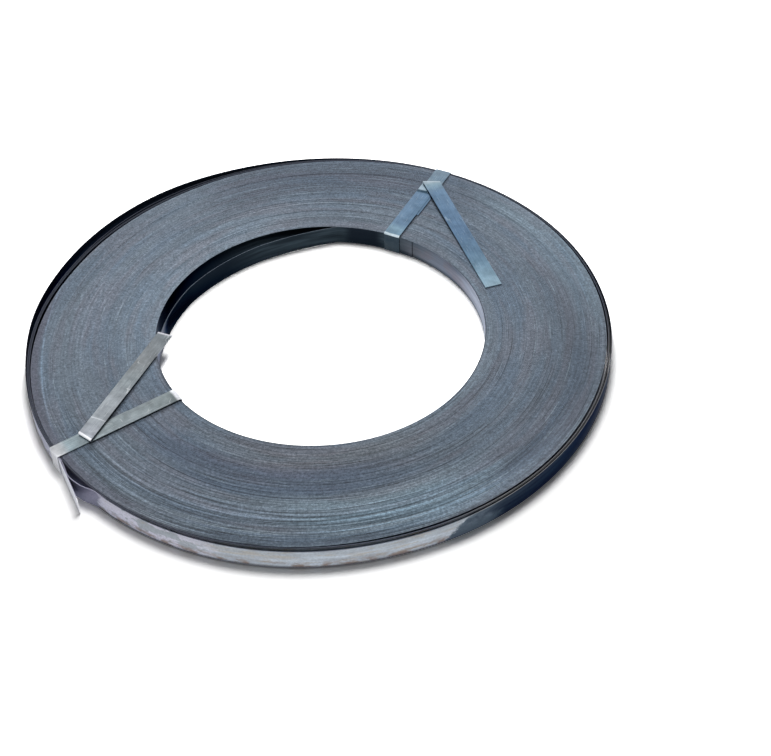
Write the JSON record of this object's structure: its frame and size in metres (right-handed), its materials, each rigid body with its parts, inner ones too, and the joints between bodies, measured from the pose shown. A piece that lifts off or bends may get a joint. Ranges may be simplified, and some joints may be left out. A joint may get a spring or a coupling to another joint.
{
  "type": "coil of steel strapping",
  "caption": "Flat ring of steel strap wound edge-up round an open bore, held by folded strap ties, with loose outer turns and a sprung free end",
  "frame": {"origin": "On the coil's axis, at the level of the floor that the ties under the coil lie on", "axes": "+Z is the coil's axis and points up through the bore; +X is to the right and -Y is towards the viewer, with the free end of the outer turn at the front left"},
  "size_m": [0.7177, 0.7201, 0.0319],
  "materials": {
    "blued_strap": "blued cold-rolled steel, oiled, with fine turn lines, stains and scuffs",
    "blue_tie": "blued steel strap, heat-tinted, cloudy near its ends",
    "grey_tie": "bare grey-silver steel strap, scratched, bright at its bends"
  },
  "bodies": {
    "root": {"coil": "blued_strap", "tie_right": "blue_tie", "tie_left": "grey_tie"}
  },
  "joints": []
}
